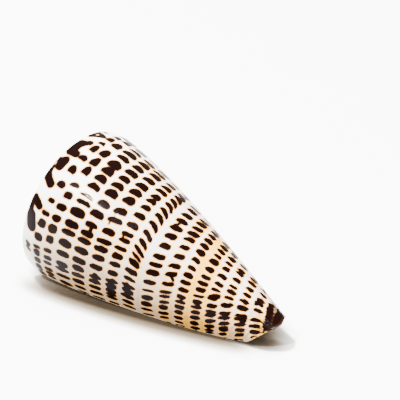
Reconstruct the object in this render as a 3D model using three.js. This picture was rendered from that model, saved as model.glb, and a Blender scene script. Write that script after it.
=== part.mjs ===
// A cone shell, lying on its aperture side as it rests on a table.
//
// The shell is one wall that grew round an axis. Every point of it is given by how far back from
// the outer lip it lies, as an angle of growth, and by its place across the whorl: on the ramp,
// which runs from the seam with the whorl before out to the shoulder, or on the side, which runs
// from the shoulder down to the front end. Each earlier turn is the same shape, made smaller.
//
// Lengths are in millimetres. While it is being made the shell stands on its front end, with the
// growth axis on Z. At the end it is laid down with its front end towards +X.

import * as THREE from "three";
import { ParametricGeometry } from "three/addons/geometries/ParametricGeometry.js";
import { mergeGeometries, mergeVertices } from "three/addons/utils/BufferGeometryUtils.js";

// Driving dimensions of the last whorl, measured at the outer lip
const shellLength = 99.2; // from the top of the spire to the front tip
const shoulderRadius = 29.4; // the widest place, just below the shoulder
const widestDepth = 10; // how far that lies below the top of the spire
const seamRadius = 28.3; // the shoulder line, where the next turn is joined on
const seamDepth = 4.2;
const lipEndRadius = 11; // the front corner of the outer lip
const lipEndDepth = 89.5;
const canalDepth = 95; // where the taper that ends at that corner has come to, further back
const canalAngle = THREE.MathUtils.degToRad(165); // the growth angle over which it gets there
const sideBulge = 1.31; // 1 gives straight sides, and more gives fuller ones
const frontFlare = 20; // how soon the taper eases off beyond that corner
const whorlRatio = 1.34; // each turn is this much larger than the one before
const canalSpread = 20; // how much the front end opens out as it winds
const columellaTip = 1.6; // radius of the pillar round the axis, at the front tip
const columellaTaper = 2.5; // how much thicker it is at the shoulder

// The ramp across the top of a turn has a shallow channel and a rounded edge
const channel = new THREE.Vector2(22.9, 4.6);
const shoulderEdge = new THREE.Vector2(27, 1.9);

// The wall and the hollow behind the aperture
const lipThickness = 1.5; // at the very edge of the lip
const wallThickness = 2.3; // a little way in
const thickeningAngle = 0.5; // the growth angle over which it reaches that
const frontThinning = 0.45; // the share by which it is thinner at the front edge
const narrowestGap = 0.7;
const roofRow = 0.07; // where the roof meets the inner wall, as a share of the rows below the seam
const hollowAngleTop = THREE.MathUtils.degToRad(300); // how far round the hollow goes at the shoulder
const hollowAngleFront = Math.PI; // and at the front end
const frontClosing = 6; // how late the hollow closes towards the front end

// The edges of the aperture
const lipCornerAngle = THREE.MathUtils.degToRad(12); // how far the front corner is rounded back
const lipCornerPower = 10;
const sinusAngle = THREE.MathUtils.degToRad(8); // the notch where the lip meets the shoulder
const frontCornerDepth = 88.8; // the front edge, where the lip ends
const tipAngle = THREE.MathUtils.degToRad(100); // from there the edge runs down to the tip
const tipSharpness = 1.6; // how early it comes near the tip's depth
const returnAngle = THREE.MathUtils.degToRad(140); // and over this angle back to the pillar's end
const pillarDepth = 94.7;
const frontBevel = 0.8; // how much shorter the wall is on its inner side at the front edge
const tipRounding = 0.4; // how far the pillar's end stands out
const lipRounding = 0.5; // and the middle of the lip's edge

// How the shell rests, found from where its weight lies over its lowest points
const restTilt = THREE.MathUtils.degToRad(11.8); // of the growth axis, from the table
const restRoll = THREE.MathUtils.degToRad(47); // from straight down round to the outer lip

// Fineness of the surface
const turnSteps = 60;
const hollowSteps = turnSteps / 2;
const sideRows = 16;
const rampRows = 4;
const edgeRows = 4; // across the edge of the lip and across the front end
const spireTurns = 5;
const rowCrowding = 1.35; // over 1, rows lie closer together at the shoulder

const fullTurn = 2 * Math.PI;
const mix = THREE.MathUtils.lerp;

// How large the shell was when it had grown to this angle back from the lip
const growth = (angle) => whorlRatio ** (-angle / fullTurn);

// The larger of two lengths, with a soft change from one to the other
const softness = 0.7;
const softMax = (a, b) => {
  const larger = Math.max(a, b);
  return larger + softness * Math.log1p(Math.exp((Math.min(a, b) - larger) / softness));
};

const rampCurve = new THREE.CubicBezierCurve(
  new THREE.Vector2(seamRadius / whorlRatio, seamDepth / whorlRatio),
  channel,
  shoulderEdge,
  new THREE.Vector2(seamRadius, seamDepth),
);

// Radius of the outer lip at a share of the way from the shoulder line to its front corner
function lipRadius(share) {
  const depth = mix(seamDepth, lipEndDepth, share);
  if (depth < widestDepth) {
    const above = (widestDepth - depth) / (widestDepth - seamDepth);
    return shoulderRadius - (shoulderRadius - seamRadius) * above ** 2;
  }
  const along = (depth - widestDepth) / (lipEndDepth - widestDepth);
  const past = Math.max(along - 1, 0);
  const below = Math.min(along, 1) + (1 - Math.exp(-frontFlare * past)) / frontFlare;
  return shoulderRadius - (shoulderRadius - lipEndRadius) * below ** sideBulge;
}

// How deep the front edge lies: it runs down from the lip's corner to the tip, and then back a
// little to the end of the pillar
function frontDepth(angle) {
  const toTip = 1 - Math.max(1 - angle / tipAngle, 0) ** tipSharpness;
  const beyond = THREE.MathUtils.clamp((angle - tipAngle) / returnAngle, 0, 1);
  const back = Math.sin((Math.PI / 2) * beyond) ** 1.2;
  return mix(frontCornerDepth, shellLength, toTip) - (shellLength - pillarDepth) * back;
}

// Radius and depth on the side of the whorl. The taper goes on past the corner of the lip as far
// as the front edge does.
function sideSection(angle, share) {
  const size = growth(angle);
  const seam = size * seamDepth;
  const depth = mix(seam, frontDepth(angle), share);
  const canal = mix(lipEndDepth, canalDepth, THREE.MathUtils.smoothstep(angle, 0, canalAngle));
  const reach = (depth - seam) / (canal - seam);
  const spread = seamRadius + canalSpread * reach ** 1.5;
  const outer = lipRadius(reach) - (1 - size) * spread;
  const pillar = columellaTip + columellaTaper * (1 - share);
  return { radius: softMax(outer, pillar), depth };
}

const place = (target, angle, radius, depth) =>
  target.set(radius * Math.cos(angle), radius * Math.sin(angle), -depth);

// Where the edge of the aperture lies, on the ramp and on the side
const rampEdge = (share) => sinusAngle * Math.sin(Math.PI * share);
const sideEdge = (share) => lipCornerAngle * share ** lipCornerPower;
const hollowAngle = (share) => mix(hollowAngleTop, hollowAngleFront, share ** 2);
const rowShare = (v) => v ** rowCrowding;

function ramp(angle, share, target) {
  const size = growth(angle);
  const section = rampCurve.getPoint(share);
  place(target, angle, size * section.x, size * section.y);
}

function side(angle, share, target) {
  const section = sideSection(angle, share);
  place(target, angle, section.radius, section.depth);
}

// The hollow's inner wall is the side of the turn before. It leaves the seam a little way in,
// so that the roof of the hollow is as thick as the rest of the wall.
function pillarWall(u, v, target) {
  const share = rowShare(mix(roofRow * Math.min(8 * u, 1), 1, v));
  side(fullTurn + hollowAngle(share) * u, share, target);
}

function wallAt(angle, share) {
  const thickening = THREE.MathUtils.smoothstep(angle, 0, thickeningAngle);
  return mix(lipThickness, wallThickness, thickening) * (1 - frontThinning * share ** 8);
}

// The hollow's outer wall, behind the side
function innerSide(u, v, target) {
  const share = rowShare(v);
  const angle = mix(sideEdge(share), hollowAngle(share), u);
  const wall = wallAt(angle, share);
  const outer = sideSection(angle, share);
  const pillar = sideSection(fullTurn + angle, share);
  const closing = share ** frontClosing * THREE.MathUtils.smoothstep(u, 0.5, 1);
  const gap = Math.max(outer.radius - wall - pillar.radius, narrowestGap) * (1 - closing);
  const edge = outer.depth + wall * (1 - share) - frontBevel * share ** 8;
  const depth = mix(edge, pillar.depth, closing);
  place(target, angle, pillar.radius + gap, depth);
}

// The hollow's roof, under the ramp
function innerRamp(u, share, target) {
  const seam = new THREE.Vector3();
  const shoulder = new THREE.Vector3();
  pillarWall(u, 0, seam);
  innerSide(u, 0, shoulder);
  const angle = mix(rampEdge(share), hollowAngleTop, u);
  const radius = mix(Math.hypot(seam.x, seam.y), Math.hypot(shoulder.x, shoulder.y), share);
  if (share === 0) target.copy(seam);
  else place(target, angle, radius, mix(-seam.z, -shoulder.z, share));
}

// Straight rungs between two edges, each given as a function of one number
const between = (near, far) => (u, v, target) => {
  const end = new THREE.Vector3();
  near(v, target);
  far(v, end);
  target.lerp(end, u);
};

// The same for the edge of the lip, which stands out between them by a share of its rounding
const lipEdge = (near, far, standing) => (u, v, target) => {
  const end = new THREE.Vector3();
  near(v, target);
  far(v, end);
  const reach = lipRounding * standing(v) * Math.sin(Math.PI * u);
  const angle = -reach / Math.hypot(end.x, end.y);
  target.lerp(end, u).applyAxisAngle(new THREE.Vector3(0, 0, 1), angle);
};

const outerRamp = (u, v, target) =>
  ramp(mix(rampEdge(v), spireTurns * fullTurn, u), v, target);
const outerSide = (u, v, target) => {
  const share = rowShare(v);
  side(mix(sideEdge(share), fullTurn, u), share, target);
};

// The front end is closed by rungs from the outside to the hollow, first round the wall and
// then across the pillar. The pillar's rungs rise to a low dome, which is the tip.
const frontWall = (u, v, target) => {
  const outside = new THREE.Vector3();
  innerSide(u, 1, target);
  outerSide(u / 2, 1, outside);
  target.lerp(outside, v);
};
const frontPillar = (u, v, target) => {
  const outside = new THREE.Vector3();
  pillarWall(1 - u, 1, target);
  outerSide((1 + u) / 2, 1, outside);
  target.lerp(outside, v);
  target.z -= tipRounding * Math.sin(Math.PI * v) * Math.sin(Math.PI * u);
};

// The middle of the spire is a low dome over the last ring of seam
const domeHeight = 0.35;
const spireMiddle = (u, v, target) => {
  const ringShare = turnSteps / (turnSteps + rampRows);
  const turn = Math.round(Math.min(u / ringShare, 1) * turnSteps) / turnSteps;
  const step = Math.round(Math.max(u - ringShare, 0) * (turnSteps + rampRows)) / rampRows;
  ramp((spireTurns - 1 + turn) * fullTurn, step, target);
  target.multiplyScalar(v);
  target.z -= (1 - v) * (growth(spireTurns * fullTurn) * seamDepth - domeHeight);
};

// Turns a sheet over, so that its faces look the other way
const flipped = (sheet) => (u, v, target) => sheet(1 - u, v, target);

const sheets = [
  [flipped(outerRamp), spireTurns * turnSteps, rampRows],
  [flipped(outerSide), turnSteps, sideRows],
  [flipped(spireMiddle), turnSteps + rampRows, 1],
  [flipped(pillarWall), hollowSteps, sideRows],
  [innerSide, hollowSteps, sideRows],
  [innerRamp, hollowSteps, rampRows],
  // the edge of the outer lip
  [
    lipEdge((v, p) => outerRamp(0, v, p), (v, p) => innerRamp(0, v, p), (v) => v),
    edgeRows,
    rampRows,
  ],
  [
    lipEdge((v, p) => outerSide(0, v, p), (v, p) => innerSide(0, v, p), (v) => 1 - v ** 8),
    edgeRows,
    sideRows,
  ],
  // the end of the hollow, far round inside
  [between((v, p) => innerRamp(1, v, p), (v, p) => pillarWall(1, 0, p)), 1, rampRows],
  [between((v, p) => innerSide(1, v, p), (v, p) => pillarWall(1, v, p)), 1, sideRows],
  [frontWall, hollowSteps, edgeRows],
  [frontPillar, hollowSteps, edgeRows],
];

// Joins the sheets along their shared edges, and leaves out faces that shrank to a line there
function closedSurface(parts) {
  const pieces = parts.map(([sheet, slices, stacks]) => {
    const geometry = new ParametricGeometry(sheet, slices, stacks);
    geometry.deleteAttribute("normal");
    geometry.deleteAttribute("uv");
    return geometry;
  });
  const joined = mergeVertices(mergeGeometries(pieces), 1e-3);
  const corners = joined.index.array;
  const kept = [];
  for (let i = 0; i < corners.length; i += 3) {
    const [a, b, c] = corners.slice(i, i + 3);
    if (a !== b && b !== c && c !== a) kept.push(a, b, c);
  }
  joined.setIndex(kept);
  return joined;
}

// The turn that lays the shell down: its underside faces the table, its front end +X
function restingTurn() {
  const down = new THREE.Vector3(
    Math.cos(restTilt) * Math.cos(restRoll),
    -Math.cos(restTilt) * Math.sin(restRoll),
    -Math.sin(restTilt),
  );
  const up = down.clone().negate();
  const forward = new THREE.Vector3(0, 0, -1).projectOnPlane(up).normalize();
  const across = new THREE.Vector3().crossVectors(up, forward);
  const axes = new THREE.Matrix4().makeBasis(forward, across, up);
  return new THREE.Quaternion().setFromRotationMatrix(axes.transpose());
}

const nacre = new THREE.MeshStandardMaterial({ color: 0xefe6da, roughness: 0.3, metalness: 0 });
const shell = new THREE.Mesh(closedSurface(sheets), nacre);
shell.name = "shell";
shell.quaternion.copy(restingTurn());

// The origin is on the table, below the middle of the shell
const bounds = new THREE.Box3().setFromObject(shell, true);
const middle = bounds.getCenter(new THREE.Vector3());
shell.position.set(-middle.x, -middle.y, -bounds.min.z);

const coneShell = new THREE.Group();
coneShell.add(shell);

export default coneShell;
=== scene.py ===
import math

import bmesh
import bpy
import numpy as np
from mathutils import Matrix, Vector


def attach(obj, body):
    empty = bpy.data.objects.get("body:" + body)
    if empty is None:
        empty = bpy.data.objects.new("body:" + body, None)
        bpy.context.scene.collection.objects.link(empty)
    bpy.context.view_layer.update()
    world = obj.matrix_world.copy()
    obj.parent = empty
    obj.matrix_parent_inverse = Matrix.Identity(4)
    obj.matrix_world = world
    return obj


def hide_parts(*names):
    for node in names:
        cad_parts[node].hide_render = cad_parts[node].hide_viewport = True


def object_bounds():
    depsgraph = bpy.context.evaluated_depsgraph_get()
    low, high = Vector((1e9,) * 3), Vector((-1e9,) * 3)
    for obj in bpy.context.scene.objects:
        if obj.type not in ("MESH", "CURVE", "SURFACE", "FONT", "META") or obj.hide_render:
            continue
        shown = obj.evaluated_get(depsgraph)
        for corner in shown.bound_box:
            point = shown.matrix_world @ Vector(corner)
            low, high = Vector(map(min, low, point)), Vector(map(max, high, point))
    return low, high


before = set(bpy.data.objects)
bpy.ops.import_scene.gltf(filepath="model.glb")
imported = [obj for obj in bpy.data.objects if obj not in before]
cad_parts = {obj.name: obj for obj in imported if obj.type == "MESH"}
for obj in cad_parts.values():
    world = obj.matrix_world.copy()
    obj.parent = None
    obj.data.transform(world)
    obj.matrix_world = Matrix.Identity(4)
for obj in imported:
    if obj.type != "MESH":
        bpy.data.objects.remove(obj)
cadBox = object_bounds()

# The shell is worked out in millimetres, standing on its front end with the growth axis on z.
# A place on it is an angle of growth back from the outer lip, and a share of the way across
# the whorl. Every turn is the same shape, smaller by the whorl ratio.
shell = {
    "length": 99.2,
    "shoulderRadius": 29.4,
    "widestDepth": 10.0,
    "seamRadius": 28.3,
    "seamDepth": 4.2,
    "lipEndRadius": 11.0,
    "lipEndDepth": 89.5,
    "canalDepth": 95.0,
    "canalAngle": math.radians(165),
    "sideBulge": 1.31,
    "frontFlare": 20,
    "whorlRatio": 1.34,
    "canalSpread": 20.0,
    "pillarTip": 1.6,
    "pillarTaper": 2.5,
    "channel": (22.9, 4.6),
    "shoulderEdge": (27.0, 1.9),
    "lipThickness": 1.5,
    "wallThickness": 2.3,
    "thickeningAngle": 0.5,
    "frontThinning": 0.45,
    "narrowestGap": 0.7,
    "roofRow": 0.07,
    "hollowAngleTop": math.radians(300),
    "hollowAngleFront": math.pi,
    "frontClosing": 6,
    "lipCornerAngle": math.radians(12),
    "lipCornerPower": 10,
    "sinusAngle": math.radians(8),
    "frontCornerDepth": 88.8,
    "tipAngle": math.radians(100),
    "tipSharpness": 1.6,
    "returnAngle": math.radians(140),
    "pillarDepth": 94.7,
    "frontBevel": 0.8,
    "tipRounding": 0.4,
    "lipRounding": 0.5,
    "restTilt": math.radians(11.8),
    "restRoll": math.radians(47),
    "turnSteps": 400,
    "hollowSteps": 40,
    "sideRows": 160,
    "rampRows": 6,
    "edgeRows": 4,
    "spireTurns": 6,
    "rowCrowding": 1.1,
    "lineHeight": 0.035,  # of the growth lines on the side, and on the ramp
    "rampLineHeight": 0.04,
    "cordHeight": 0.07,  # low cords near the front end, and how many would fill the whole side
    "cordCount": 46,
    "sideSink": 0.09,  # how far the side stays within the solid, so that its relief does too
    "wornRadii": (5.0, 12.5),
    "domeRings": 4,
    "domeHeight": 0.35,
    "cornerRounding": 0.35,
    "frontStain": 0.75,
}
fullTurn = 2 * math.pi


def mix(a, b, share):
    return a + (b - a) * share


def easeStep(x, low, high):
    # 0 below low, 1 above high, and a smooth S between them
    x = np.clip((x - low) / (high - low), 0, 1)
    return x * x * (3 - 2 * x)


def between(x, low, high, falling, gone):
    # rises from 0 to 1, and falls back to 0 further on
    return easeStep(x, low, high) * (1 - easeStep(x, falling, gone))


def growth(angle):
    # the whorl ratio to the power of minus the number of turns
    return shell["whorlRatio"] ** (-angle / fullTurn)


def softMax(a, b, softness=0.7):
    # the larger of two, plus a small swell where they are nearly the same
    larger = np.maximum(a, b)
    return larger + softness * np.log1p(np.exp((np.minimum(a, b) - larger) / softness))


def place(angle, radius, depth):
    # a point at a radius from the axis, at an angle round it, a depth below the top
    angle, radius, depth = np.broadcast_arrays(angle, radius, depth)
    return np.stack([radius * np.cos(angle), radius * np.sin(angle), -depth], -1)


def lipRadius(share):
    # round above the widest place, then falling with a power a little over one; the fall
    # eases off beyond the corner of the lip
    depth = mix(shell["seamDepth"], shell["lipEndDepth"], share)
    above = np.clip((shell["widestDepth"] - depth) / (shell["widestDepth"] - shell["seamDepth"]), 0, 1)
    below = np.maximum((depth - shell["widestDepth"]) / (shell["lipEndDepth"] - shell["widestDepth"]), 0)
    past = np.maximum(below - 1, 0)
    below = np.minimum(below, 1) + (1 - np.exp(-shell["frontFlare"] * past)) / shell["frontFlare"]
    upper = shell["shoulderRadius"] - (shell["shoulderRadius"] - shell["seamRadius"]) * above**2
    lower = (shell["shoulderRadius"] - shell["lipEndRadius"]) * below ** shell["sideBulge"]
    return upper - lower


def frontDepth(angle):
    # runs down from the lip's corner to the tip, and back to the end of the pillar
    toTip = 1 - np.maximum(1 - angle / shell["tipAngle"], 0) ** shell["tipSharpness"]
    beyond = np.clip((angle - shell["tipAngle"]) / shell["returnAngle"], 0, 1)
    back = np.sin(math.pi / 2 * beyond) ** 1.2
    rise = shell["length"] - shell["pillarDepth"]
    return mix(shell["frontCornerDepth"], shell["length"], toTip) - rise * back


def canalLength(angle):
    # from the shoulder line down to where the taper is level with the corner of the lip
    canal = mix(shell["lipEndDepth"], shell["canalDepth"], easeStep(angle, 0, shell["canalAngle"]))
    return canal - growth(angle) * shell["seamDepth"]


def sideReach(angle, share):
    # how far down the taper a place lies, as a share of that length
    return share * (frontDepth(angle) - growth(angle) * shell["seamDepth"]) / canalLength(angle)


def sideSection(angle, share):
    # the lip's radius less what the shell has grown since, but never thinner than the pillar
    size = growth(angle)
    reach = sideReach(angle, share)
    spread = shell["seamRadius"] + shell["canalSpread"] * reach**1.5
    outer = lipRadius(reach) - (1 - size) * spread
    pillar = shell["pillarTip"] + shell["pillarTaper"] * (1 - share)
    return softMax(outer, pillar), mix(size * shell["seamDepth"], frontDepth(angle), share)


def ramp(angle, share):
    # one cubic Bezier curve from the seam to the shoulder line, made smaller by the growth
    size = growth(angle)
    inner = 1 - share
    start = (shell["seamRadius"] / shell["whorlRatio"], shell["seamDepth"] / shell["whorlRatio"])
    corners = (start, shell["channel"], shell["shoulderEdge"], (shell["seamRadius"], shell["seamDepth"]))
    weights = (inner**3, 3 * inner**2 * share, 3 * inner * share**2, share**3)
    radius = sum(w * c[0] for w, c in zip(weights, corners))
    depth = sum(w * c[1] for w, c in zip(weights, corners))
    return place(angle, size * radius, size * depth)


def side(angle, share):
    # the points of the side at its own radius and depth
    radius, depth = sideSection(angle, share)
    return place(angle, radius, depth)


def rowShare(v):
    # a power a little over one, so that the rows lie closer at the shoulder
    return v ** shell["rowCrowding"]


def sideEdge(share):
    # where the side begins: at the lip, and a little further back at the front corner
    return shell["lipCornerAngle"] * share ** shell["lipCornerPower"]


def rampEdge(share):
    # where the ramp begins: a half sine makes the notch at the top of the lip
    return shell["sinusAngle"] * np.sin(math.pi * share)


def hollowAngle(share):
    # how far back the hollow goes, which falls with the square of the share
    return mix(shell["hollowAngleTop"], shell["hollowAngleFront"], share**2)


def pillarWall(u, v):
    # the side of the turn before, from a little below the seam
    share = rowShare(mix(shell["roofRow"] * np.minimum(8 * u, 1), 1, v))
    return side(fullTurn + hollowAngle(share) * u, share)


def innerSide(u, v):
    # the side moved in by the wall's thickness, meeting the pillar at the front end
    share = rowShare(v)
    angle = mix(sideEdge(share), hollowAngle(share), u)
    thickening = easeStep(angle, 0, shell["thickeningAngle"])
    wall = mix(shell["lipThickness"], shell["wallThickness"], thickening)
    wall = wall * (1 - shell["frontThinning"] * share**8)
    outerRadius, outerDepth = sideSection(angle, share)
    pillarRadius, pillarDepth = sideSection(fullTurn + angle, share)
    closing = share ** shell["frontClosing"] * easeStep(u, 0.5, 1)
    gap = np.maximum(outerRadius - wall - pillarRadius, shell["narrowestGap"]) * (1 - closing)
    edge = outerDepth + wall * (1 - share) - shell["frontBevel"] * share**8
    return place(angle, pillarRadius + gap, mix(edge, pillarDepth, closing))


def innerRamp(u, share):
    # a straight slope from the top of the inner wall to the top of the outer one
    seam = pillarWall(u, 0 * u)
    shoulder = innerSide(u, 0 * u)
    angle = mix(rampEdge(share), shell["hollowAngleTop"], u)
    seamRadius = np.hypot(seam[..., 0], seam[..., 1])
    shoulderRadius = np.hypot(shoulder[..., 0], shoulder[..., 1])
    radius = mix(seamRadius, shoulderRadius, share)
    roof = place(angle, radius, -mix(seam[..., 2], shoulder[..., 2], share))
    return np.where((share == 0)[..., None], seam, roof)


def parameterGrid(slices, rows):
    # two arrays of shares from 0 to 1, one along the growth and one across it
    return np.meshgrid(np.linspace(0, 1, slices + 1), np.linspace(0, 1, rows + 1), indexing="ij")


# Markings: each is a rounded block at an angle and a distance below the shoulder line.
# A row lies at a share of the side near the lip and runs up to a smaller share further back.
# Then come the length of its blocks in millimetres and how far they lean, and the angle and
# the width of every block in degrees.
rows = [
    (0.087, 0.074, 2.8, 0.0,
     "4 7 12.5 6.4 20.5 5 28.3 5.4 34 2.8 42.6 5 53.7 5.6 62 3 71.8 3 "
     "85 4.6 98 5.2 110 4.6 122.5 7 131.4 3.4 141.7 5 151 4"),
    (0.139, 0.113, 3.2, 0.1,
     "5 4 10.5 4 16 4 23 3.6 28.6 3.4 35.5 3.6 45.4 5.4 54.1 5.8 62.8 4.6 "
     "71.6 4.2 81 4.6 89.7 3 103.2 6.6 113.4 7.8 124.8 7.8 140.4 6.6 154.5 5"),
    (0.208, 0.171, 5.0, 0.05,
     "-2 4 5.5 5.6 15.5 4 23.5 3.4 29 4.2 39.3 4.4 48.5 5.3 57.7 3.9 64.6 5 "
     "74 5.8 82.6 3.2 88 2.2 96.7 4.6 105 5.5 113.7 6.4 122.4 7.6 133.5 5 143.1 5.4 "
     "152.4 4"),
    (0.282, 0.238, 4.6, 0.05,
     "1 4 9 4 17.3 4.8 24.8 4.4 32.2 5.4 39.9 5 49.1 5 57.7 3.9 64.2 4.8 "
     "71.6 4 80.7 5.2 89.9 5.2 100.3 6 108.7 5 117.3 5.4 126.6 6.2 136.3 5.4 145.7 5.4 "
     "155.1 4.6"),
    (0.358, 0.301, 4.8, 0.14,
     "2 4 10.8 4 18.6 4 25.5 4 31 4 41.2 4.8 50.4 4.8 58.4 4.6 65.2 4.2 "
     "73.9 4.8 84.3 4.4 93 5.6 104.4 6.6 114 5.8 123.2 6.2 134.1 5.6 144.6 5.2 153.3 4.4"),
    (0.430, 0.366, 4.0, 0.1,
     "3.7 4 12.4 4 17.5 3.5 22.3 5 28.5 4.5 34 4.2 42.7 4.4 51.6 4.3 59.6 5.2 "
     "66.8 3.4 74.6 3.6 80.4 3.8 88.8 4.8 99 5 108.8 4.8 117.6 5.2 124.5 5.6 134.2 5 "
     "143.8 5 153.6 5"),
    (0.503, 0.427, 4.5, -0.42,
     "7 4.4 15.1 5 23.4 5 30.4 5.6 36.8 4 44.2 3.6 52.2 5 61 5.2 67.4 3 "
     "73.3 3.7 80.7 3.9 89.4 4.2 99.3 4.2 109 4.4 117.7 4.2 126.5 4.2 135 4 144.4 4.6 "
     "153.6 5"),
    (0.586, 0.497, 4.0, 0.22,
     "4 3.6 13.6 4 22.6 6 31.7 5.8 40.9 3 50.5 4.4 61 5.8 70 4.4 78.7 5.2 "
     "90.6 5.8 102.7 6.8 113.6 6.6 125 6.4 136.2 6.4 148.8 5.6 159 5"),
    (0.658, 0.559, 3.5, 0.3,
     "-1.4 4 8.8 4.4 17.2 4.8 26.8 5.6 34.5 4.6 42.1 3.8 47.8 3.6 57.5 4.4 68.6 5 "
     "78.6 5 90 5.8 101.8 5.2 113.4 6 122.4 7 132.7 6.8 143.8 6.2 153.6 6"),
    (0.724, 0.619, 3.3, 0.0,
     "1 4 9.4 5 18.3 5 27.7 6 36.2 5.8 43.7 4 50.2 5.4 59.4 5 68.5 5.2 "
     "77.8 5.6 87.2 5 98.2 5.6 109.8 7.4 120.4 7 131.1 7.4 141.9 5.8 153 6.6"),
    (0.791, 0.680, 3.3, 0.0,
     "-1 4 7 6 17.5 7.4 28.6 6.6 37.6 5.6 45.4 4.8 52.9 6.6 61.4 3.6 70.1 5.6 "
     "78.7 5.4 87.7 5.4 99.3 6.6 111.9 7.6 122.7 6.2 134.1 7.2 145.5 6.8 157.8 8"),
    (0.853, 0.729, 3.1, 0.05,
     "-3 6 5.8 4.6 12.4 5 21.4 7 32.2 7 42.4 6.4 48.4 4.4 56.8 6.4 70 10 "
     "80.5 4 89.8 5.6 102.3 6.2 116.1 7.2 127.5 6.4 140.1 8.4 153.6 8"),
    (0.911, 0.785, 3.1, 0.05,
     "3 4 13.3 6.6 25.9 9.6 37.3 7 47.5 6 55 6.4 68.5 8.2 80.3 5.6 90.9 6.6 "
     "100.2 5 113.4 6.6 129 8 137.5 7 153 8.6"),
    (0.977, 0.846, 3.2, 0.0,
     "9 7 23.8 8.6 35.6 8.4 46.5 8 57.5 7 64 6.4 78.5 10 90.7 7.4 104.1 7.4 "
     "117.9 9 133.8 9.6 148.8 10"),
    (1.044, 0.902, 3.0, 0.0,
     "33.5 8.6 45 9 57.5 9.4 71 10 91 9.5 107 9 117.5 8 133.5 9 152.5 11 "
     "167 11"),
    (1.104, 0.944, 2.2, 0.0, "48 9 58 12 70 12 82 12 94 12 106 12 118 12 130 12 156 8"),
    (1.165, 1.012, 5.2, 0.0, "66 20 80 24 96 28 112 28 130 28 150 24"),
]
# Thin joins between blocks: angle and share at both ends, and thickness in mm, where about
# zero leaves a thread of the edge's brown.
bridges = [
    (23, 0.206, 30, 0.207, 2.0), (115, 0.198, 120, 0.193, 2.0), (64, 0.282, 72, 0.281, 1.6),
    (25, 0.357, 33.5, 0.360, 2.0), (79.5, 0.329, 93, 0.328, 0.5), (12, 0.430, 22, 0.438, 1.1),
    (26, 0.418, 36, 0.437, 1.7), (75.5, 0.405, 80, 0.404, 0.9), (118, 0.389, 124, 0.390, 0.9),
    (23, 0.502, 37.5, 0.498, 2.2), (64, 0.657, 67.5, 0.640, 1.2), (70, 0.634, 72.5, 0.652, 1.1),
    (116, 0.517, 128, 0.530, 1.0), (43, 0.838, 49, 0.836, 1.0), (12, 0.855, 21, 0.848, 1.2),
    (47, 0.901, 55, 0.896, 1.6), (129, 0.806, 138, 0.800, 1.2), (56, 0.965, 65, 0.954, 2.2),
    (104, 0.946, 117, 0.934, 1.7), (44, 0.722, 50, 0.717, 0.7), (47.5, 0.792, 52, 0.780, 1.3),
    (84.5, 0.336, 86, 0.331, 0.6), (-2, 0.786, 3, 0.787, 1.2), (56, 1.067, 75, 1.041, 2.0),
    (75, 1.041, 95, 1.015, 2.0), (95, 1.015, 115, 0.989, 2.0), (115, 0.989, 133, 0.966, 1.9),
    (66, 1.103, 84, 1.088, 5.0), (84, 1.088, 106, 1.060, 5.4), (106, 1.060, 128, 1.035, 5.4),
    (128, 1.035, 152, 1.008, 4.6), (71, 0.998, 73, 1.032, 0.7), (57.5, 1.010, 59, 1.055, 0.1),
    (64, 0.965, 68, 0.995, -0.1), (89, 0.93, 84, 1.02, -0.3),
]
# Dark patches on the shoulder: angle and mm below its line at both ends, and thickness.
blotches = [
    (54, 2.3, 47.5, 3.6, 4.0), (61, 0.8, 54, 2.0, 2.2), (67, 1.2, 64, 4.2, 2.6),
    (65, 0.6, 67, -2.5, 1.6), (85.5, 1.0, 81.5, 4.0, 2.7), (93, 0.2, 87, 0.8, 1.6),
    (86, 0.2, 90, -2.2, 2.4), (96.5, 2.5, 101.5, 2.6, 3.5), (101, 0.8, 97, -3.0, 1.8),
    (111, 1.6, 110.5, 4.0, 2.9), (112, 1.6, 122.5, 1.7, 3.3), (121.5, 2.4, 126, 4.0, 2.5),
    (113, -0.8, 121, -2.4, 2.0), (135.5, 0.6, 146, -0.4, 2.2), (135.5, 1.2, 140, 4.3, 1.5),
    (145.5, 0.4, 141, 4.4, 1.7), (26.6, 3.9, 27.4, 3.0, 1.7), (31.2, 3.7, 31.8, 2.9, 1.7),
    (150, 2.2, 153, 1.2, 1.4), (8, 2.0, 9, 0.0, 2.0),
]
marking = {
    "sharpness": 2.6,  # 2 makes the blocks oval, more makes them squarer
    "widen": 1.27,  # how much larger every block is than read
    "lengthen": 1.13,
    "thicken": 1.15,  # the same for the patches on the shoulder
    "joining": 0.3,  # mm over which neighbours flow together
    "wobble": 0.22,  # mm by which their edges wander
    "rowGap": 10.0,  # degrees between blocks where the back of the shell isn't seen
    "farBack": 420,  # degrees back from the lip to which every row runs on
    "lastReach": 1.12,  # blocks beyond the front end's edge are left out
    "rowStretch": 1.02,  # the rows' distances are measured on the curved surface
    "patchJoining": 0.6,  # the joining of the patches on the shoulder
    "patchStart": 166,  # degrees between which those of the back of the shoulder lie
    "patchEnd": 350,
    "patchGap": (11, 19),
    "climbStart": 30,  # degrees where the rows leave the level, and over how many they climb
    "climbSpan": 120,
    "climbEnd": 1.15,
    "climbPower": 2.1,  # less this many times the row's share
    "powerFall": 1.05,
    "seenTo": 168,  # degrees beyond which the rows follow the growth
    "wobbleSize": (2.6, 1.3),  # degrees and mm from one wave of the edges to the next
    "frontWidening": 1.2,  # how much wider the front's blocks are, where they are random
    "farWidening": 0.3,  # how much wider those near the far edge are, and in which degrees
    "farDegrees": (125, 150, 160, 175),
    "frontLean": 0.4,  # lean of the lower rows near the lip
    "bend": 0.75,  # mm by which the far blocks bow, in the upper rows and in the lower ones
    "frontBend": 0.3,
    "farShrink": 0.93,
    "farAway": 9.0,  # mm to the nearest mark, where there is none
    "seed": 5,
}
noiseSource = np.random.default_rng(marking["seed"])

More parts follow.
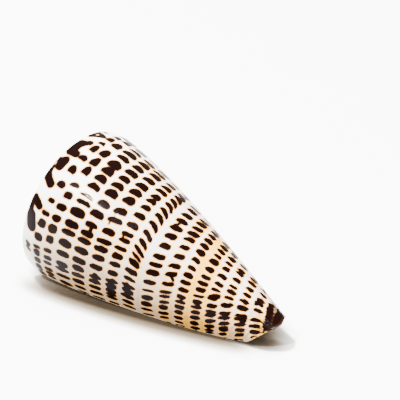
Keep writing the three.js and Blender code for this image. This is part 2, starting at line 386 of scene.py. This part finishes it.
# the shoulder's patches go on round the back
patchSource = np.random.default_rng(marking["seed"] + 3)
patchAngle = marking["patchStart"]
while patchAngle < marking["patchEnd"]:
    blotches.append((patchAngle, patchSource.uniform(1.6, 2.4), patchAngle + patchSource.uniform(-5, 5),
                     patchSource.uniform(2.8, 4.2), patchSource.uniform(1.5, 3.0)))
    patchAngle += patchSource.uniform(*marking["patchGap"])


def smoothNoise(u, v, source):
    # random heights on a lattice one apart, joined by smooth steps; from -1 to 1
    lattice = source.uniform(-1, 1, (int(u.max()) + 3, int(v.max()) + 3))
    i, j = np.floor(u).astype(int), np.floor(v).astype(int)
    a, b = easeStep(u - i, 0, 1), easeStep(v - j, 0, 1)
    low = mix(lattice[i, j], lattice[i + 1, j], a)
    high = mix(lattice[i, j + 1], lattice[i + 1, j + 1], a)
    return mix(low, high, b)


def rowAt(nearLip, farBack, degrees):
    # a row stays level near the lip, then climbs by a power of the angle; it follows the
    # growth of the shell once it is out of sight
    power = marking["climbPower"] - marking["powerFall"] * nearLip
    climb = (degrees - marking["climbStart"]) / marking["climbSpan"]
    climb = np.clip(climb, 0, marking["climbEnd"]) ** power
    seen = nearLip - (nearLip - farBack) * climb
    return seen * growth(np.radians(np.maximum(degrees - marking["seenTo"], 0)))


def softUnion(field, distance, joining):
    # the smaller of two distances, rounded where they are nearly equal
    h = np.clip(0.5 + 0.5 * (field - distance) / joining, 0, 1)
    return mix(field, distance, h) - joining * h * (1 - h)


def blockDistance(across, along, halfWidth, halfLength, slant, bend):
    # the size of the point in a leaning, bent superellipse, less one, over its slope there
    power = marking["sharpness"]
    halfWidth = halfWidth * marking["widen"] * math.hypot(1, slant)
    halfLength = halfLength * marking["lengthen"]
    x = np.abs(across - slant * along - bend * (1 - (along / halfLength) ** 2)) / halfWidth
    y = np.abs(along) / halfLength
    size = (x**power + y**power + 1e-9) ** (1 / power)
    slope = size ** (1 - power) * np.hypot(x ** (power - 1) / halfWidth, y ** (power - 1) / halfLength)
    return (size - 1) / np.maximum(slope, 1 / max(halfWidth, halfLength))


def strokeDistance(x, y, dx, dy, thickness):
    # distance to a straight stroke from the start to (dx, dy), less half its thickness
    t = np.clip((x * dx + y * dy) / (dx * dx + dy * dy), 0, 1)
    return np.hypot(x - t * dx, y - t * dy) - thickness / 2


def makeBlocks():
    # every block as degrees, share, half width in degrees, half length in mm, slant and bend;
    # the rows that are read from the picture run on with random blocks round the back
    source = np.random.default_rng(marking["seed"] + 1)
    blocks = []
    for nearLip, farBack, length, lean, text in rows:
        numbers = [float(word) for word in text.split()]
        seen = list(zip(numbers[0::2], numbers[1::2]))
        degrees = seen[-1][0] + marking["rowGap"]
        wider = 1 + marking["frontWidening"] * easeStep(nearLip, 0.95, 1.1)
        while degrees < marking["farBack"]:
            seen.append((degrees + source.uniform(-1.5, 1.5), wider * source.uniform(3.6, 7.0)))
            degrees += wider * marking["rowGap"] * source.uniform(0.75, 1.25)
        for degrees, width in seen:
            width *= 1 + marking["farWidening"] * between(degrees, *marking["farDegrees"])
            share = rowAt(nearLip, farBack, degrees)
            past = easeStep(degrees, 60, 110)
            slant = lean * (mix(0.25, 1.0, easeStep(degrees, 50, 72)) if lean < 0 else 1.0)
            nearby = 1 - easeStep(degrees, 60, 95)
            slant += marking["frontLean"] * easeStep(nearLip, 0.6, 0.95) * nearby
            bend = past * marking["bend" if nearLip < 0.55 else "frontBend"]
            shrink = mix(1.0, marking["farShrink"], past)
            half = length / 2 * shrink * source.uniform(0.9, 1.1)
            blocks.append((degrees, share, width / 2, half, slant, bend))
    return blocks


def sideMarks(angle, reach, radius, length):
    # distance in mm to the nearest mark, below zero inside it
    degrees = np.degrees(angle)
    along = reach * length
    perDegree = radius * math.pi / 180
    waveDegrees, waveLength = marking["wobbleSize"]
    waveX, waveY = degrees / waveDegrees + 20, along / waveLength + 2
    warpX = marking["wobble"] * smoothNoise(waveX, waveY, noiseSource)
    warpY = marking["wobble"] * smoothNoise(waveX, waveY, noiseSource)
    field = np.full(angle.shape, marking["farAway"])
    for centre, at, halfWidth, half, slant, bend in makeBlocks():
        columns = np.nonzero(np.abs(degrees[:, 0] - centre) < halfWidth + 24)[0]
        if at > marking["lastReach"] or len(columns) == 0:
            continue
        columns = slice(columns[0], columns[-1] + 1)
        band = np.nonzero(np.abs(reach[columns] - at).min(0) * 90 < half + 3)[0]
        if len(band) == 0:
            continue
        window = (columns, slice(band[0], band[-1] + 1))
        across = (degrees[window] - centre) * perDegree[window] + warpX[window]
        down = (reach[window] - at) * length[window] + warpY[window]
        middle = float(np.median(perDegree[window]))
        distance = blockDistance(across, down, halfWidth * middle, half, slant, bend)
        field[window] = softUnion(field[window], distance, marking["joining"])
    for startAngle, startReach, endAngle, endReach, thickness in bridges:
        x = (degrees - startAngle) * perDegree + warpX
        y = (reach - startReach) * length + warpY
        dx, dy = (endAngle - startAngle) * perDegree, (endReach - startReach) * length
        field = softUnion(field, strokeDistance(x, y, dx, dy, thickness), marking["joining"])
    return paintBlotches(field, degrees, along, radius, warpX)


def paintBlotches(field, degrees, below, radius, warp):
    # joins the field with a thick stroke with round ends for each patch
    for startAngle, start, endAngle, end, thickness in blotches:
        perDegree = radius * math.pi / 180
        x = (degrees - startAngle) * perDegree + warp
        dx = (endAngle - startAngle) * perDegree
        distance = strokeDistance(x, below - start, dx, end - start, thickness * marking["thicken"])
        field = softUnion(field, distance, marking["patchJoining"])
    return field


# Dark spots of the ramp, one in each gap of so many degrees, and the dark line in its seam.
spots = {
    "gap": (12, 24),
    "place": (0.42, 0.68),  # as a share of the way across the ramp
    "halfLength": (0.1, 0.2),
    "halfWidth": (0.7, 1.3),
    "slant": (-0.4, 0.2),
    "bend": 0.3,
    "outerLength": 0.5,  # how much longer and wider they are on the outermost turn
    "outerWidth": 0.4,
    "seamLine": 0.13,
    "seamUneven": 0.16,
    "seamJoining": 0.1,
}


def rampMarks(angle, share, radius):
    # blocks along the middle of every turn of the ramp, smaller with the turn
    source = np.random.default_rng(marking["seed"] + 2)
    size = growth(angle)
    width = shell["seamRadius"] * (1 - 1 / shell["whorlRatio"])
    field = np.full(angle.shape, marking["farAway"])
    degrees = np.degrees(angle)
    centre = 0.0
    while centre < shell["spireTurns"] * 360:
        scale = growth(math.radians(centre))
        outermost = easeStep(540 - centre, 0, 360)
        at = source.uniform(*spots["place"])
        half = source.uniform(*spots["halfLength"]) * width * (1 + spots["outerLength"] * outermost)
        wide = source.uniform(*spots["halfWidth"]) * (1 + spots["outerWidth"] * outermost)
        across = (degrees - centre) * math.pi / 180 * radius / size
        down = (share - at) * width
        slant = source.uniform(*spots["slant"])
        distance = blockDistance(across, down, wide, half, slant, spots["bend"]) * scale
        field = softUnion(field, distance, marking["joining"])
        centre += source.uniform(*spots["gap"])
    # a thin dark line in the seam, broken here and there
    seam = np.where(degrees > 360, np.minimum(share, 1 - share), share) * width * size
    unbroken = smoothNoise(degrees / 9 + 20, share * 0 + 3, source)
    line = seam - spots["seamLine"] - spots["seamUneven"] * unbroken
    field = softUnion(field, line, spots["seamJoining"])
    # the patches reach over the shoulder's line only where they lie nearer the lip
    lastTurn = np.where(degrees < 200, (share - 1) * width, -99)
    return paintBlotches(field, degrees, lastTurn, radius, 0 * radius)


# the sheets of the surface, as arrays of points with a value for each layer of colour
sheets = []
layers = ("mark", "band", "inside", "worn", "tip", "creamAndShade", "stain", "pale")


def addSheet(points, flip=False, **painted):
    # a layer that isn't named is zero, and no mark is near
    shape = points.shape[:2]
    values = [painted.get(name, marking["farAway"] if name == "mark" else 0.0) for name in layers]
    values = [np.broadcast_to(value, shape).ravel() for value in values]
    sheets.append((points, np.stack(values, -1), flip))


def growthLines(degrees, v, strength):
    # fine ridges across the direction of growth, of uneven height, that wander a little: the
    # sum of a noise about a degree wide and one five times as wide
    wander = smoothNoise(degrees / 14 + 20, v * 9 + 2, noiseSource) * 2.2
    fine = smoothNoise((degrees + wander) / 1.1 + 40, v * 5 + 2, noiseSource)
    coarse = smoothNoise((degrees + wander) / 5.5 + 20, v * 3 + 2, noiseSource)
    return strength * (0.6 * fine + 0.9 * coarse)


# The broad colours of the side: a strength, then the levels and the degrees at which each
# one rises and fades. The level is 0 at the shoulder and 1 on a line between the third and the
# fourth row from the front, which climbs as the rows do.
allRound = (-2, -1, 800, 900)  # beyond every angle, so that it neither rises nor fades
washes = {
    "levelLine": (1.0, 0.86),
    "band": [
        (1.0, (0.70, 0.765, 0.81, 0.86), allRound),
        (0.45, (0.87, 0.9, 0.93, 0.95), allRound),
        (0.5, (0.62, 0.66, 0.68, 0.7), allRound),
        (1.3, (1.035, 1.07, 8, 9), (34, 42, 70, 105)),
    ],
    "tip": [
        (1.0, (1.15, 1.18, 8, 9), (50, 80, 800, 900)),
    ],
    "stain": [
        (1.0, (1.085, 1.11, 8, 9), (70, 95, 165, 190)),
        (0.3, (0.98, 1.03, 1.085, 1.11), (50, 75, 800, 900)),
        (0.8, (1.035, 1.055, 8, 9), (40, 48, 58, 75)),
    ],
    "frontEdge": (0.982, 0.995),  # the share at which the colour of the very edge sets in
    "edgeBand": (1.5, (22, 34, 60, 75)),
    "edgeTip": (0.9, (52, 66)),
    "paleLevel": (0.18, 0.36),  # the level where the polish of the shoulder ends
    "creamShadeDegrees": (22, 85),
    "creamShadeReach": (0.03, 0.13),
    "frontCream": (0.6, (0.98, 1.06)),
}


def washed(name, level, degrees):
    # the sum of a colour's parts, each its strength times its two windows
    return sum(strength * between(level, *levels) * between(degrees, *angles)
               for strength, levels, angles in washes[name])


def sideColours(degrees, reach, share):
    # each layer is the sum of its washes, and the very edge of the front has its own
    level = reach / np.maximum(rowAt(*washes["levelLine"], degrees), 0.3)
    rim = easeStep(share, *washes["frontEdge"])
    strength, angles = washes["edgeBand"]
    band = washed("band", level, degrees) + strength * rim * between(degrees, *angles)
    strength, angles = washes["edgeTip"]
    tip = np.maximum(washed("tip", level, degrees), strength * rim * easeStep(degrees, *angles))
    strength, reaches = washes["frontCream"]
    # near the lip the cream is partly the shell's warmer tone and partly painted shade on the lower side
    creamAndShade = (1 - easeStep(degrees, *washes["creamShadeDegrees"])) * easeStep(reach, *washes["creamShadeReach"])
    creamAndShade = creamAndShade + strength * easeStep(reach, *reaches)
    return {
        "band": band,
        "tip": tip,
        "creamAndShade": np.clip(creamAndShade, 0, 1),
        "stain": np.clip(washed("stain", level, degrees), 0, 1),
        "pale": 1 - easeStep(level, *washes["paleLevel"]),
    }


def makeSide():
    # the outside of the side, with its growth lines and cords
    u, v = parameterGrid(shell["turnSteps"], shell["sideRows"])
    share = rowShare(v)
    angle = mix(sideEdge(share), fullTurn, u)
    radius, depth = sideSection(angle, share)
    reach = sideReach(angle, share)
    degrees = np.degrees(angle)
    marks = sideMarks(angle, reach, radius, canalLength(angle) * marking["rowStretch"])
    relief = growthLines(degrees, share, shell["lineHeight"])
    cords = np.sin(share * fullTurn * shell["cordCount"]) * easeStep(share, 0.76, 0.9)
    relief = relief + shell["cordHeight"] * cords - shell["sideSink"]
    fade = between(u, 0, 0.01, 0.985, 1) * between(v, 0, 0.02, 0.98, 1)
    points = place(angle, radius + relief * fade, depth)
    addSheet(points, flip=True, mark=marks, **sideColours(degrees, reach, share))


def makeSpire():
    # the outside of the ramp, round every turn of the spire
    turns, steps = shell["spireTurns"], shell["turnSteps"]
    u, p = parameterGrid(steps * turns, shell["rampRows"])
    angle = mix(rampEdge(p), turns * fullTurn, u)
    points = ramp(angle, p)
    radius = np.hypot(points[..., 0], points[..., 1])
    marks = rampMarks(angle, p, radius)
    worn = 1 - easeStep(radius, *shell["wornRadii"])
    middle = np.sin(math.pi * p) ** 0.5
    relief = growthLines(np.degrees(angle), p, shell["rampLineHeight"]) * middle * growth(angle)
    relief = relief - shell["rampLineHeight"] * middle
    points[..., 2] += relief * between(u, 0, 0.003, 0.99, 1)
    addSheet(points, flip=True, mark=marks, worn=worn, pale=1.0)
    # the middle of the spire: a low dome over the last ring of seam
    ringAngle = np.linspace(turns - 1, turns, steps + 1) * fullTurn
    across = np.linspace(0, 1, shell["rampRows"] + 1)
    closing = ramp(0 * across + turns * fullTurn, across)[1:]
    ring = np.concatenate([ramp(ringAngle, 0 * ringAngle), closing])
    share = np.linspace(0, 1, shell["domeRings"] + 1)[None, :, None]
    dome = ring[:, None, :] * share
    middleDepth = growth(turns * fullTurn) * shell["seamDepth"] - shell["domeHeight"]
    dome[..., 2] -= (1 - share[..., 0]) * middleDepth
    addSheet(dome, flip=True, worn=1.0)


def makeHollow():
    # the hollow behind the aperture: pillar, outer wall, roof, and its two end faces
    u, v = parameterGrid(shell["hollowSteps"], shell["sideRows"])
    # the inside layer rises with the depth into the hollow; the material paints the hollow darker by it,
    # as shade
    deep = easeStep(u, 0.02, 0.2)
    wall = innerSide(u, v)
    pillar = pillarWall(u, v)
    stained = easeStep(v, 0.975, 0.995) * easeStep(u, 0.14, 0.25)
    addSheet(pillar, flip=True, inside=mix(0.35, 1.0, deep) * (1 - stained), tip=0.8 * stained)
    addSheet(wall, inside=mix(0.5, 1.0, deep) * (1 - stained), tip=0.8 * stained)
    u, p = parameterGrid(shell["hollowSteps"], shell["rampRows"])
    roof = innerRamp(u, p)
    addSheet(roof, inside=mix(0.5, 1.0, easeStep(u, 0.02, 0.2)))
    addSheet(np.stack([wall[-1], pillar[-1]]), inside=1.0)
    addSheet(np.stack([roof[-1], np.broadcast_to(pillar[-1, 0], roof[-1].shape)]), inside=1.0)
    return wall, pillar, roof


def makeShell():
    makeSide()
    makeSpire()
    wall, pillar, roof = makeHollow()
    outerSide, outerRamp = sheets[0][0], sheets[1][0]
    # the edge of the outer lip, standing out a little between its two corners
    lipRows(outerRamp[0], roof[0], np.linspace(0, 1, shell["rampRows"] + 1))
    lipRows(outerSide[0], wall[0], 1 - np.linspace(0, 1, shell["sideRows"] + 1) ** 8)
    # the front end, closed from the outside to the hollow
    frontEnd(outerSide[:, -1], wall[:, -1], pillar[:, -1])


def lipRows(outer, inner, standing):
    # straight rungs, turned forward round the axis by a half sine
    share = np.linspace(0, 1, shell["edgeRows"] + 1)[:, None]
    points = mix(outer[None], inner[None], share[..., None])
    reach = shell["lipRounding"] * standing[None] * np.sin(math.pi * share)
    angle = -reach / np.hypot(inner[:, 0], inner[:, 1])[None]
    x, y = points[..., 0], points[..., 1]
    turnedX = x * np.cos(angle) - y * np.sin(angle)
    turnedY = x * np.sin(angle) + y * np.cos(angle)
    addSheet(np.stack([turnedX, turnedY, points[..., 2]], -1), inside=0.5)


# points and triangles where two edges of unlike numbers of points meet
zipped = []


def frontEnd(outer, wall, pillar):
    # rungs from the outer edge to the hollow's edge; the outer one has more points, so the
    # last row is zipped: each step moves on along the edge whose next point comes sooner
    half = len(wall) - 1
    inner = np.concatenate([wall, pillar[::-1][1:]])
    innerShare = np.linspace(0, 1, 2 * half + 1)
    outerShare = np.linspace(0, 1, len(outer))
    matched = np.stack([np.interp(outerShare, innerShare, inner[:, k]) for k in range(3)], -1)
    share = np.linspace(0, 1, shell["edgeRows"] + 1)[:, None, None]
    rungs = mix(outer[None], matched[None], share)
    swell = np.sin(math.pi * share[..., 0]) * between(outerShare, 0, 0.03, 0.97, 1)
    rounding = mix(shell["cornerRounding"], shell["tipRounding"], easeStep(outerShare, 0.5, 0.7))
    rungs[..., 2] -= rounding * swell
    addSheet(rungs[:-1], flip=True, tip=shell["frontStain"])
    last = rungs[-2]
    share = np.concatenate([outerShare[1:], innerShare[1:] + 1e-9])
    fromOuter = np.concatenate([np.ones(len(last) - 1), np.zeros(2 * half)])
    order = np.argsort(share, kind="stable")
    fromOuter = fromOuter[order].astype(int)
    i = np.cumsum(fromOuter)
    j = np.cumsum(1 - fromOuter)
    before = np.stack([i - fromOuter, j - (1 - fromOuter)], -1)
    third = np.where(fromOuter == 1, i, len(last) + j)
    faces = np.stack([before[:, 0], third, len(last) + before[:, 1]], -1)
    zipped.append((np.concatenate([last, inner]), faces))


def restingAxes():
    # the direction that faces down, and the front end's heading along the table
    tilt, roll = shell["restTilt"], shell["restRoll"]
    down = np.array([math.cos(tilt) * math.cos(roll), -math.cos(tilt) * math.sin(roll), -math.sin(tilt)])
    forward = np.array([0, 0, -1.0])
    forward = forward - forward @ down * down
    forward /= np.linalg.norm(forward)
    return np.stack([forward, np.cross(-down, forward), -down])


def buildMesh():
    # all the sheets as one mesh, in which points that coincide are merged
    places, values, faces = [], [], []
    bare = {"mark": marking["farAway"], "tip": shell["frontStain"]}
    start = 0
    for points, value, flip in sheets:
        n, m = points.shape[:2]
        index = start + np.arange(n * m).reshape(n, m)
        corners = (index[:-1, :-1], index[1:, :-1], index[1:, 1:], index[:-1, 1:])
        quads = np.stack(corners, -1).reshape(-1, 4)
        faces.append(quads[:, ::-1] if flip else quads)
        places.append(points.reshape(-1, 3))
        values.append(value)
        start += n * m
    for points, triangles in zipped:
        faces.append(start + triangles)
        places.append(points)
        values.append(np.tile([bare.get(name, 0.0) for name in layers], (len(points), 1)))
        start += len(points)
    places = np.concatenate(places) @ restingAxes().T
    # the outermost points come to the frame's own box
    low, high = places.min(0), places.max(0)
    boxLow, boxHigh = np.array(cadBox[0]), np.array(cadBox[1])
    places = boxLow + (places - low) / (high - low) * (boxHigh - boxLow)
    mesh = bpy.data.meshes.new("shellSkin")
    mesh.from_pydata(places.tolist(), [], [face for group in faces for face in group.tolist()])
    values = np.concatenate(values)
    for column, name in enumerate(layers):
        layer = mesh.attributes.new(name, "FLOAT", "POINT")
        layer.data.foreach_set("value", values[:, column].astype(np.float32))
    joined = bmesh.new()
    joined.from_mesh(mesh)
    bmesh.ops.remove_doubles(joined, verts=joined.verts, dist=2e-6)
    bmesh.ops.dissolve_degenerate(joined, edges=joined.edges, dist=1e-7)
    bmesh.ops.recalc_face_normals(joined, faces=joined.faces)
    openEdges = sum(1 for edge in joined.edges if not edge.is_manifold)
    print("open edges", openEdges, "faces", len(joined.faces))
    joined.to_mesh(mesh)
    joined.free()
    mesh.shade_smooth()
    mesh.set_sharp_from_angle(angle=math.radians(50))
    return mesh


makeShell()
skin = bpy.data.objects.new("shellBody", buildMesh())
bpy.context.collection.objects.link(skin)
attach(skin, "root")
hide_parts("shell")
print("shell made")

# the material is polished porcelain with dark blocks that have a thin orange-brown edge
finish = {
    "ground": (0.66, 0.625, 0.62, 1),
    "groundWarm": (0.68, 0.545, 0.42, 1),
    # the cream is a warm beige, darkened to stand in as painted shade on the lower side near the lip
    "paleColour": (0.90, 0.88, 0.875, 1),
    "creamAndShadeColour": (0.52, 0.36, 0.20, 1),
    "bandColour": (0.74, 0.37, 0.003, 1),
    "haloColour": (0.92, 0.50, 0.11, 1),
    "edgeColour": (0.34, 0.12, 0.01, 1),
    "markBrown": (0.010, 0.0028, 0.0010, 1),
    "markDark": (0.0028, 0.0008, 0.0007, 1),
    # the inside colours darken into the hollow as painted shade
    "insideShadeColour": (0.62, 0.60, 0.60, 1),
    "deepInsideShade": (0.20, 0.19, 0.19, 1),
    "wornPale": (0.11, 0.075, 0.04, 1),
    "wornColour": (0.02, 0.013, 0.005, 1),
    "stainColour": (0.036, 0.02, 0.012, 1),
    "roughness": 0.26,
    "gloss": 0.35,  # strength of the reflections on the pale ground, and on the marks
    "markGloss": 0.01,
    "coat": 0.036,
    "frontCoat": 0.011,
    "coatRoughness": 0.07,
    "fineScale": 1500,  # scales of the noises
    "broadScale": 70,
    "speckleScale": 260,
    "wornScale": 420,
    "bumpScale": 1100,
    "bumpStrength": 0.25,
    "bumpDepth": 0.0002,
    "wander": 0.24,  # mm by which the edges of the blocks wander
    # across the edge of a block, 0.5 is the edge and each mm outwards adds 0.25
    "haloStep": (0.535, 0.66),
    "edgeStep": (0.51, 0.56),
    "coreStep": (0.475, 0.51),
    "darkStep": (0.4, 0.48),
    # where the noises turn into colour
    "warmStep": (0.4, 0.65),
    "tipStep": (0.35, 0.6),
    "wornStep": (0.2, 0.9),
    "lipStep": (0.05, 0.4),
}


class nodeMaker:
    def __init__(self, name):
        self.material = bpy.data.materials.new(name)
        self.material.use_nodes = True
        self.tree = self.material.node_tree
        self.surface = self.tree.nodes["Principled BSDF"]

    def add(self, kind, **settings):
        node = self.tree.nodes.new("ShaderNode" + kind)
        for key, value in settings.items():
            setattr(node, key, value)
        return node

    def link(self, source, target):
        self.tree.links.new(source, target)

    def attribute(self, name):
        return self.add("Attribute", attribute_name=name).outputs["Fac"]

    def math(self, operation, a, b=0.0, c=0.0):
        node = self.add("Math", operation=operation)
        for socket, value in zip(node.inputs, (a, b, c)):
            if hasattr(value, "links"):
                self.link(value, socket)
            else:
                socket.default_value = value
        return node.outputs[0]

    def ramp(self, value, stops):
        node = self.add("ValToRGB")
        self.link(value, node.inputs[0])
        elements = node.color_ramp.elements
        while len(elements) < len(stops):
            elements.new(0.5)
        for element, (position, colour) in zip(elements, stops):
            element.position = position
            element.color = colour if len(colour) == 4 else (*colour, 1)
        return node.outputs[0]

    def rise(self, value, step, top=1.0):
        return self.ramp(value, [(step[0], (0, 0, 0)), (step[1], (top, top, top))])

    def fall(self, value, step):
        return self.ramp(value, [(step[0], (1, 1, 1)), (step[1], (0, 0, 0))])

    def blend(self, factor, a, b, kind="MIX"):
        node = self.add("Mix", data_type="RGBA", blend_type=kind)
        for socket, value in ((node.inputs[0], factor), (node.inputs[6], a), (node.inputs[7], b)):
            if hasattr(value, "links"):
                self.link(value, socket)
            else:
                socket.default_value = value
        return node.outputs[2]

    def noise(self, scale, detail=3.0, stretch=(1, 1, 1)):
        place = self.add("TexCoord").outputs["Object"]
        mapping = self.add("Mapping")
        mapping.inputs["Scale"].default_value = stretch
        self.link(place, mapping.inputs[0])
        node = self.add("TexNoise")
        node.inputs["Scale"].default_value = scale
        node.inputs["Detail"].default_value = detail
        self.link(mapping.outputs[0], node.inputs["Vector"])
        return node.outputs[0]


def makePorcelain():
    # layers of colour from the ground up, each laid on by its own layer of the mesh
    maker = nodeMaker("spottedPorcelain")
    surface = maker.surface
    inside = maker.attribute("inside")
    worn = maker.attribute("worn")
    stain = maker.attribute("stain")
    fineNoise = maker.noise(finish["fineScale"], 2)
    broadNoise = maker.noise(finish["broadScale"], 3)
    # pale ground, warmer in places, with cream that is partly a warmer tone and partly painted shade on
    # the lower side near the lip, orange bands and the stain of the front
    warm = maker.rise(broadNoise, finish["warmStep"], 0.8)
    ground = maker.blend(warm, finish["ground"], finish["groundWarm"])
    ground = maker.blend(maker.attribute("pale"), ground, finish["paleColour"])
    streaky = maker.math("MULTIPLY_ADD", broadNoise, 0.9, 0.25)
    creamAndShadeAmount = maker.math("MULTIPLY", maker.attribute("creamAndShade"), streaky)
    ground = maker.blend(creamAndShadeAmount, ground, finish["creamAndShadeColour"])
    cloudy = maker.math("MULTIPLY_ADD", broadNoise, 3.2, -0.4)
    bandAmount = maker.math("MULTIPLY", maker.attribute("band"), cloudy)
    ground = maker.blend(maker.math("MINIMUM", bandAmount, 0.98), ground, finish["bandColour"])
    speckles = maker.noise(finish["speckleScale"], 2)
    speckled = maker.ramp(speckles, [(0.35, (0.96, 0.96, 0.96)), (0.5, (1, 1, 1))])
    ground = maker.blend(maker.math("MULTIPLY", stain, speckled), ground, finish["stainColour"])
    # thin warm halo, then brown, then near black towards the middle of each block
    wavering = maker.math("MULTIPLY_ADD", fineNoise, finish["wander"], -finish["wander"] / 2)
    edge = maker.math("ADD", maker.attribute("mark"), wavering)
    position = maker.math("MULTIPLY_ADD", edge, 0.25, 0.5)
    unstained = maker.math("MULTIPLY_ADD", stain, -0.9, 0.95)
    halo = maker.math("MULTIPLY", maker.fall(position, finish["haloStep"]), 0.9)
    colour = maker.blend(maker.math("MULTIPLY", halo, unstained), ground, finish["haloColour"])
    rim = maker.fall(position, finish["edgeStep"])
    colour = maker.blend(maker.math("MULTIPLY", rim, unstained), colour, finish["edgeColour"])
    core = maker.fall(position, finish["coreStep"])
    deep = maker.fall(position, finish["darkStep"])
    dark = maker.blend(deep, finish["markBrown"], finish["markDark"])
    colour = maker.blend(core, colour, dark)
    # the front tip is stained nearly black
    blotchy = maker.math("MULTIPLY_ADD", speckles, 0.9, 0.4)
    tipAmount = maker.math("MULTIPLY", maker.attribute("tip"), blotchy)
    colour = maker.blend(maker.rise(tipAmount, finish["tipStep"]), colour, finish["markBrown"])
    # worn spire, paler first and then mottled
    mottled = maker.math("MULTIPLY_ADD", maker.noise(finish["wornScale"], 4), 3.6, -1.15)
    wornMask = maker.rise(maker.math("MULTIPLY", worn, mottled), finish["wornStep"], 0.95)
    colour = maker.blend(maker.math("MULTIPLY", worn, 0.92), colour, finish["wornPale"])
    colour = maker.blend(wornMask, colour, finish["wornColour"])
    # the lip is white, and the hollow is painted darker further in, as shade in its depth
    insideShades = [(0.5, finish["ground"]), (0.75, finish["insideShadeColour"]), (1.0, finish["deepInsideShade"])]
    hollow = maker.ramp(inside, insideShades)
    colour = maker.blend(maker.rise(inside, finish["lipStep"]), colour, hollow)
    maker.link(colour, surface.inputs["Base Color"])
    uneven = maker.math("MULTIPLY_ADD", broadNoise, 0.12, finish["roughness"] - 0.06)
    roughness = maker.math("MULTIPLY_ADD", wornMask, 0.3, uneven)
    maker.link(roughness, surface.inputs["Roughness"])
    gloss = maker.math("MULTIPLY_ADD", core, finish["markGloss"] - finish["gloss"], finish["gloss"])
    maker.link(gloss, surface.inputs["Specular IOR Level"])
    # only the shoulder is polished enough for a sharp reflection
    coat = maker.math("MULTIPLY_ADD", maker.attribute("pale"), finish["coat"], finish["frontCoat"])
    maker.link(coat, surface.inputs["Coat Weight"])
    surface.inputs["Coat Roughness"].default_value = finish["coatRoughness"]
    bump = maker.add("Bump")
    bump.inputs["Strength"].default_value = finish["bumpStrength"]
    bump.inputs["Distance"].default_value = finish["bumpDepth"]
    maker.link(maker.noise(finish["bumpScale"], 4), bump.inputs["Height"])
    maker.link(bump.outputs[0], surface.inputs["Normal"])
    return maker.material


skin.data.materials.append(makePorcelain())
print("finish made")

# floor, light and camera
setting = {
    "azimuth": 40.74,
    "elevation": 29.36,
    "distance": 1.5,
    "pixelsPerMm": 2.938,
    "pictureSize": 400,
    "middle": (170.8, 249.2),  # where the point 20 mm above the origin falls in the picture
    "middleHeight": 0.02,
    "skyColour": (1, 0.9, 0.79, 1),
    "skyStrength": 1.6,
}
lights = {  # place, size, power, colour, and whether the gloss mirrors it
    "keyLight": ((-0.34, -0.34, 1.48), 0.2, 172, (0.97, 0.985, 1.0), False),
    "topLight": ((-0.2, 0.3, 1.6), 2.4, 75, (1, 1, 1), False),
    "streakLight": ((0.0, -0.85, 1.21), 0.05, 38, (1, 1, 1), True),
}
paper = {
    "halfSize": 3,
    "roughness": 0.9,
    "gloss": 0.1,
    "shadowReach": 0.0105,  # how far from the shell the paper under its edge is painted brown as shadow
    "shadowSamples": 16,
    "paintedShadowShades": [
        (0.48, (0.05, 0.038, 0.024)),
        (0.63, (0.13, 0.104, 0.072)),
        (0.77, (0.42, 0.37, 0.32)),
        (0.9, (0.97, 0.97, 0.97)),
    ],
}


def makeFloor():
    h = paper["halfSize"]
    mesh = bpy.data.meshes.new("floorSheet")
    mesh.from_pydata([(-h, -h, 0), (h, -h, 0), (h, h, 0), (-h, h, 0)], [], [(0, 1, 2, 3)])
    floor = bpy.data.objects.new("floor", mesh)
    bpy.context.collection.objects.link(floor)
    maker = nodeMaker("whitePaperWithPaintedShadow")
    maker.surface.inputs["Roughness"].default_value = paper["roughness"]
    maker.surface.inputs["Specular IOR Level"].default_value = paper["gloss"]
    # painted shadow: where the shell hides the paper, its colour is darkened to brown, as a contact
    # shadow under the shell's edge
    hidden = maker.add("AmbientOcclusion", samples=paper["shadowSamples"])
    hidden.inputs["Distance"].default_value = paper["shadowReach"]
    shade = maker.ramp(hidden.outputs["AO"], paper["paintedShadowShades"])
    maker.link(shade, maker.surface.inputs["Base Color"])
    mesh.materials.append(maker.material)
    floor.visible_diffuse = False  # it throws no light back up, so the lower side stays in shade


def makeLight(name, place, size, power, colour, mirrored):
    data = bpy.data.lights.new(name, "AREA")
    data.energy = power
    data.color = colour
    data.shape = "DISK"
    data.size = size
    lamp = bpy.data.objects.new(name, data)
    lamp.location = place
    lamp.rotation_euler = (-Vector(place)).to_track_quat("-Z", "Y").to_euler()
    lamp.visible_glossy = mirrored
    bpy.context.collection.objects.link(lamp)


def makeSky():
    world = bpy.data.worlds.new("studio")
    world.use_nodes = True
    background = world.node_tree.nodes["Background"]
    background.inputs["Color"].default_value = setting["skyColour"]
    background.inputs["Strength"].default_value = setting["skyStrength"]
    bpy.context.scene.world = world


def makeCamera():
    # it looks at the middle from the set direction, shifted to where that falls in the picture
    a, e = math.radians(setting["azimuth"]), math.radians(setting["elevation"])
    back = Vector((math.sin(a) * math.cos(e), -math.cos(a) * math.cos(e), math.sin(e)))
    right = Vector((math.cos(a), math.sin(a), 0))
    up = back.cross(right)
    scale = setting["pixelsPerMm"] * 1000
    size, (column, row) = setting["pictureSize"], setting["middle"]
    offset = right * (size / 2 - column) / scale + up * (row - size / 2) / scale
    data = bpy.data.cameras.new("camera")
    data.sensor_width = 36
    data.lens = data.sensor_width * scale * setting["distance"] / size
    data.clip_start, data.clip_end = 0.1, 20
    camera = bpy.data.objects.new("camera", data)
    camera.location = Vector((0, 0, setting["middleHeight"])) + back * setting["distance"]
    camera.rotation_euler = (back * setting["distance"] - offset).to_track_quat("Z", "Y").to_euler()
    bpy.context.collection.objects.link(camera)
    bpy.context.scene.camera = camera


makeFloor()
for lightName, values in lights.items():
    makeLight(lightName, *values)
makeSky()
makeCamera()
print("stage set")
